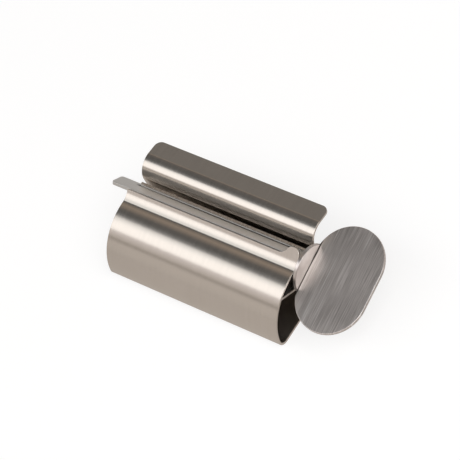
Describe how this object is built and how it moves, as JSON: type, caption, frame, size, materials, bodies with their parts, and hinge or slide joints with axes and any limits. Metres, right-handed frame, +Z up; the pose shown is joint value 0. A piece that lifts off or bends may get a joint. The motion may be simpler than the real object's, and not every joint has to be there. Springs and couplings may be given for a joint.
{
  "type": "toothpaste tube squeezer with stand",
  "caption": "Bent steel stand that squeezes a toothpaste tube through a narrow slot, with a flat slit winding key lying across its mouth.",
  "frame": {"origin": "middle of the whole object's footprint, on the surface that the holder's flat base stands on", "axes": "+X along the holder towards the key's grip, +Y towards the flat shelf at the rear, +Z up"},
  "size_m": [0.1244, 0.0498, 0.0282],
  "materials": {
    "holder_steel": "satin",
    "guide_steel": "satin",
    "blade_steel": "satin",
    "grip_steel": "straight brushed"
  },
  "bodies": {
    "holder": {"holder_body": "holder_steel", "guide_strip": "guide_steel"},
    "key": {"key_blade": "blade_steel", "key_grip": "grip_steel"}
  },
  "joints": [
    {"name": "key_turn", "type": "hinge", "parent": "holder", "child": "key", "pos_m": [-0.01087, 0.00453, 0.02223], "axis": [1, 0, 0], "continuous": true}
  ]
}
